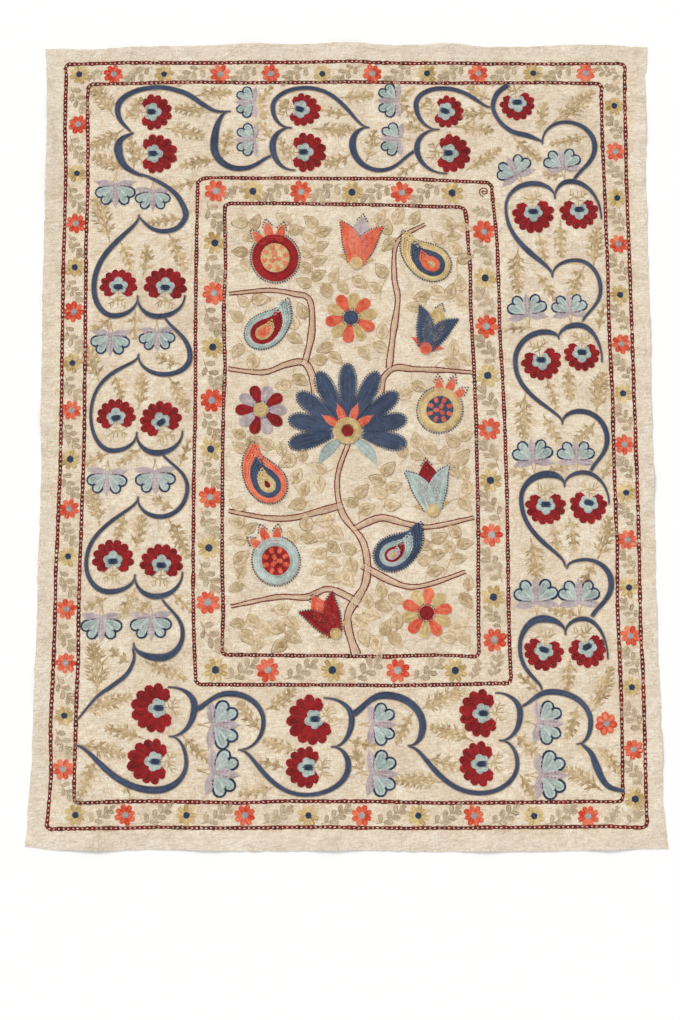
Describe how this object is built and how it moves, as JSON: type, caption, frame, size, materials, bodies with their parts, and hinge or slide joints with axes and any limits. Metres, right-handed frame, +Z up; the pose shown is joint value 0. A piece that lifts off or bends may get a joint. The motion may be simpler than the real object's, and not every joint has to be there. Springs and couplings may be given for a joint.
{
  "type": "suzani embroidered textile",
  "caption": "Hand-embroidered cloth laid flat, with guard lines, flower and scroll borders around a flowering-tree field, and a turned hem with soft puckers.",
  "frame": {"origin": "middle of the underside, in the plane that the cloth rests on", "axes": "+X across the width to the right, +Y towards the cloth's top edge, +Z up from the surface it lies on"},
  "size_m": [1.1049, 1.456, 0.0083],
  "materials": {
    "undyed_linen": "matt hand-woven linen, undyed, worked in coloured thread"
  },
  "bodies": {
    "root": {"embroidered_cloth": "undyed_linen"}
  },
  "joints": []
}
